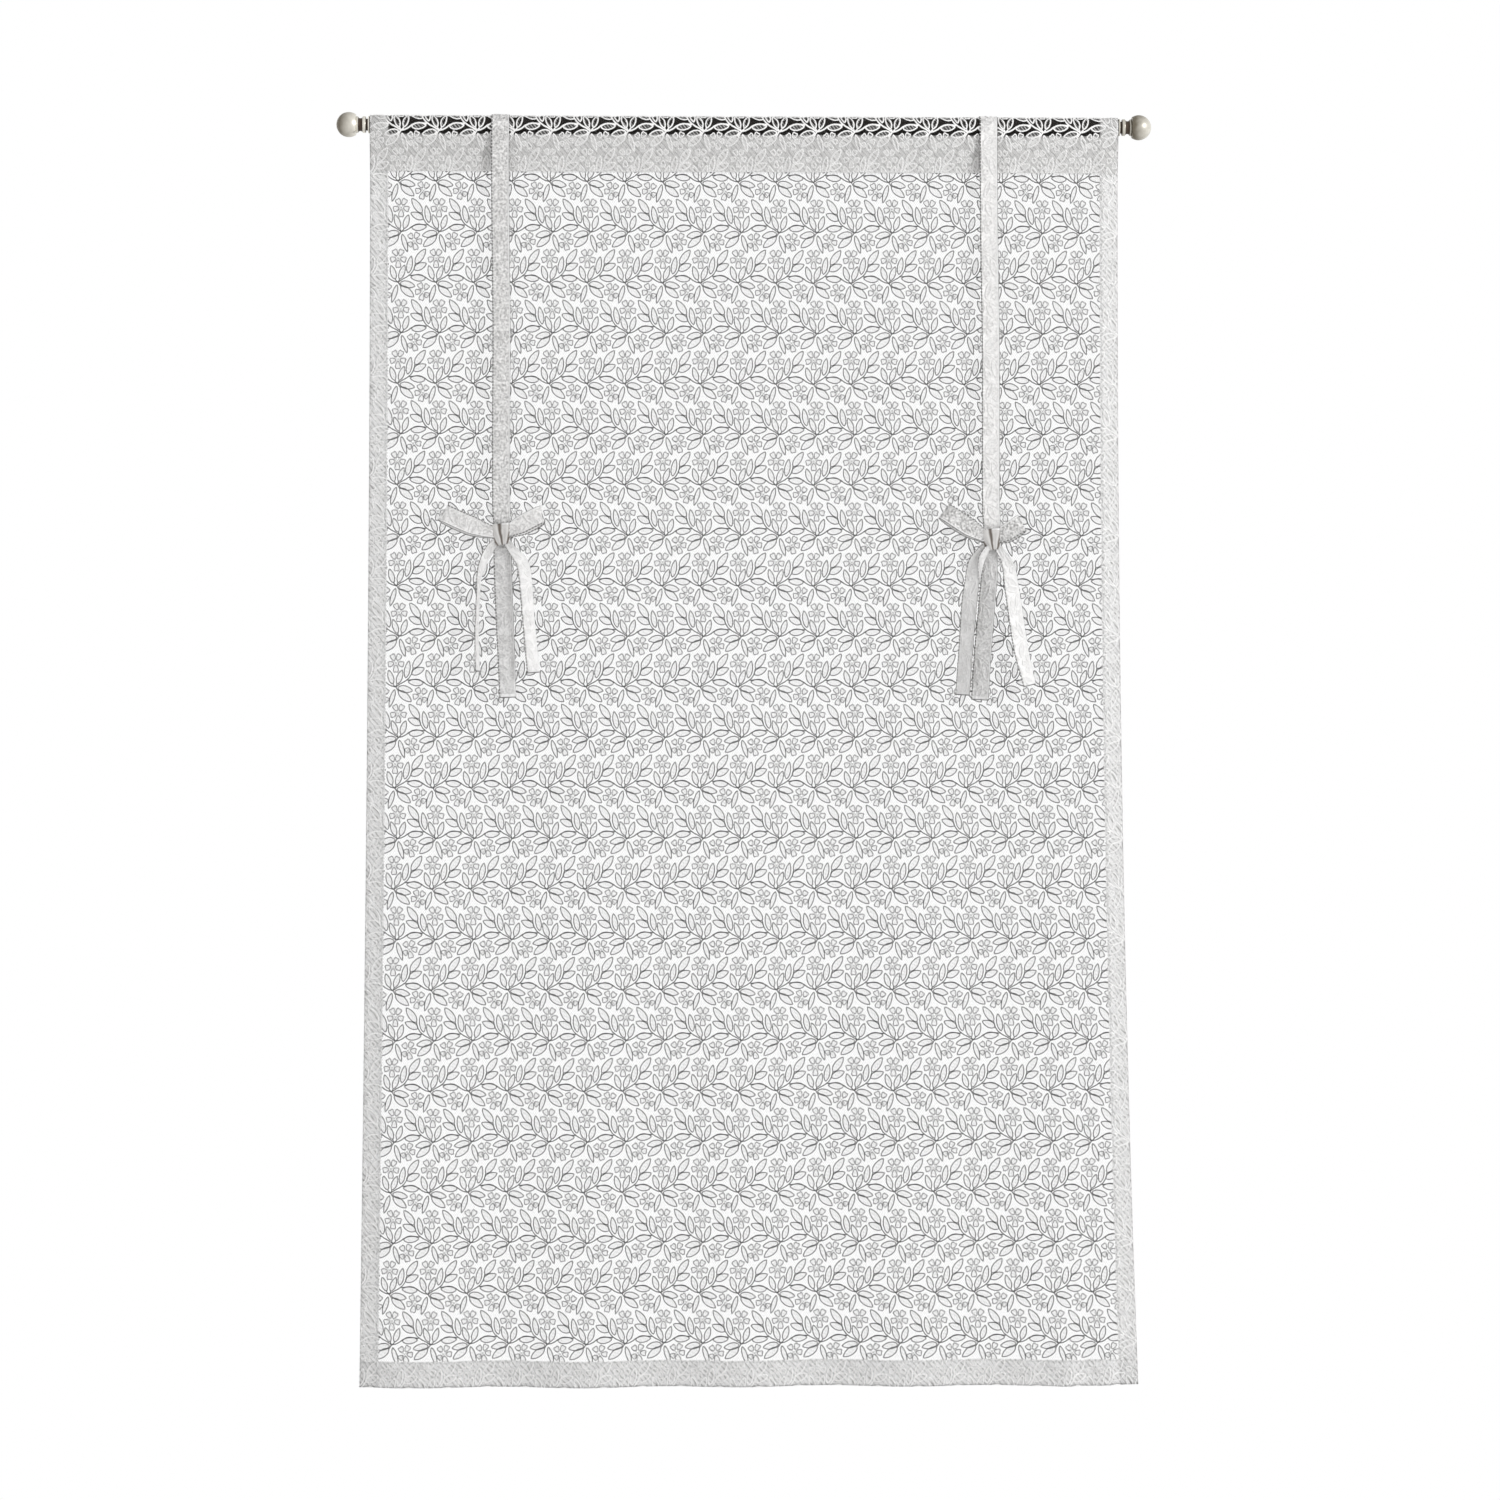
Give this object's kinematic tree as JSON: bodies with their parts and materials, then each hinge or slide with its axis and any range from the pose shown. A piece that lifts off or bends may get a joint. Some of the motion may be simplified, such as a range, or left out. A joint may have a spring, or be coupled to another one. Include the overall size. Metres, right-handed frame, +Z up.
{
  "type": "tie-up lace curtain",
  "caption": "Lace curtain panel hung from a rod through its top pocket, with two long lace ties knotted into bows in front and turned ball finials on the rod.",
  "frame": {"origin": "middle of the curtain rod, on its axis", "axes": "+Z up, +X along the rod towards the viewer's right, the front with the bows faces -Y"},
  "size_m": [1.027, 0.0441, 1.6038],
  "materials": {
    "panel_lace": "white warp-knitted lace, matt",
    "tie_lace": "white warp-knitted lace, two layers, matt",
    "rod_metal": "dark satin steel tube",
    "finial_metal": "satin nickel"
  },
  "bodies": {
    "root": {"lace_panel": "panel_lace", "curtain_rod": "rod_metal", "finial_left": "finial_metal", "finial_right": "finial_metal", "tie_strap_left": "tie_lace", "tie_strap_right": "tie_lace", "bow_left": "tie_lace", "bow_right": "tie_lace"}
  },
  "joints": []
}
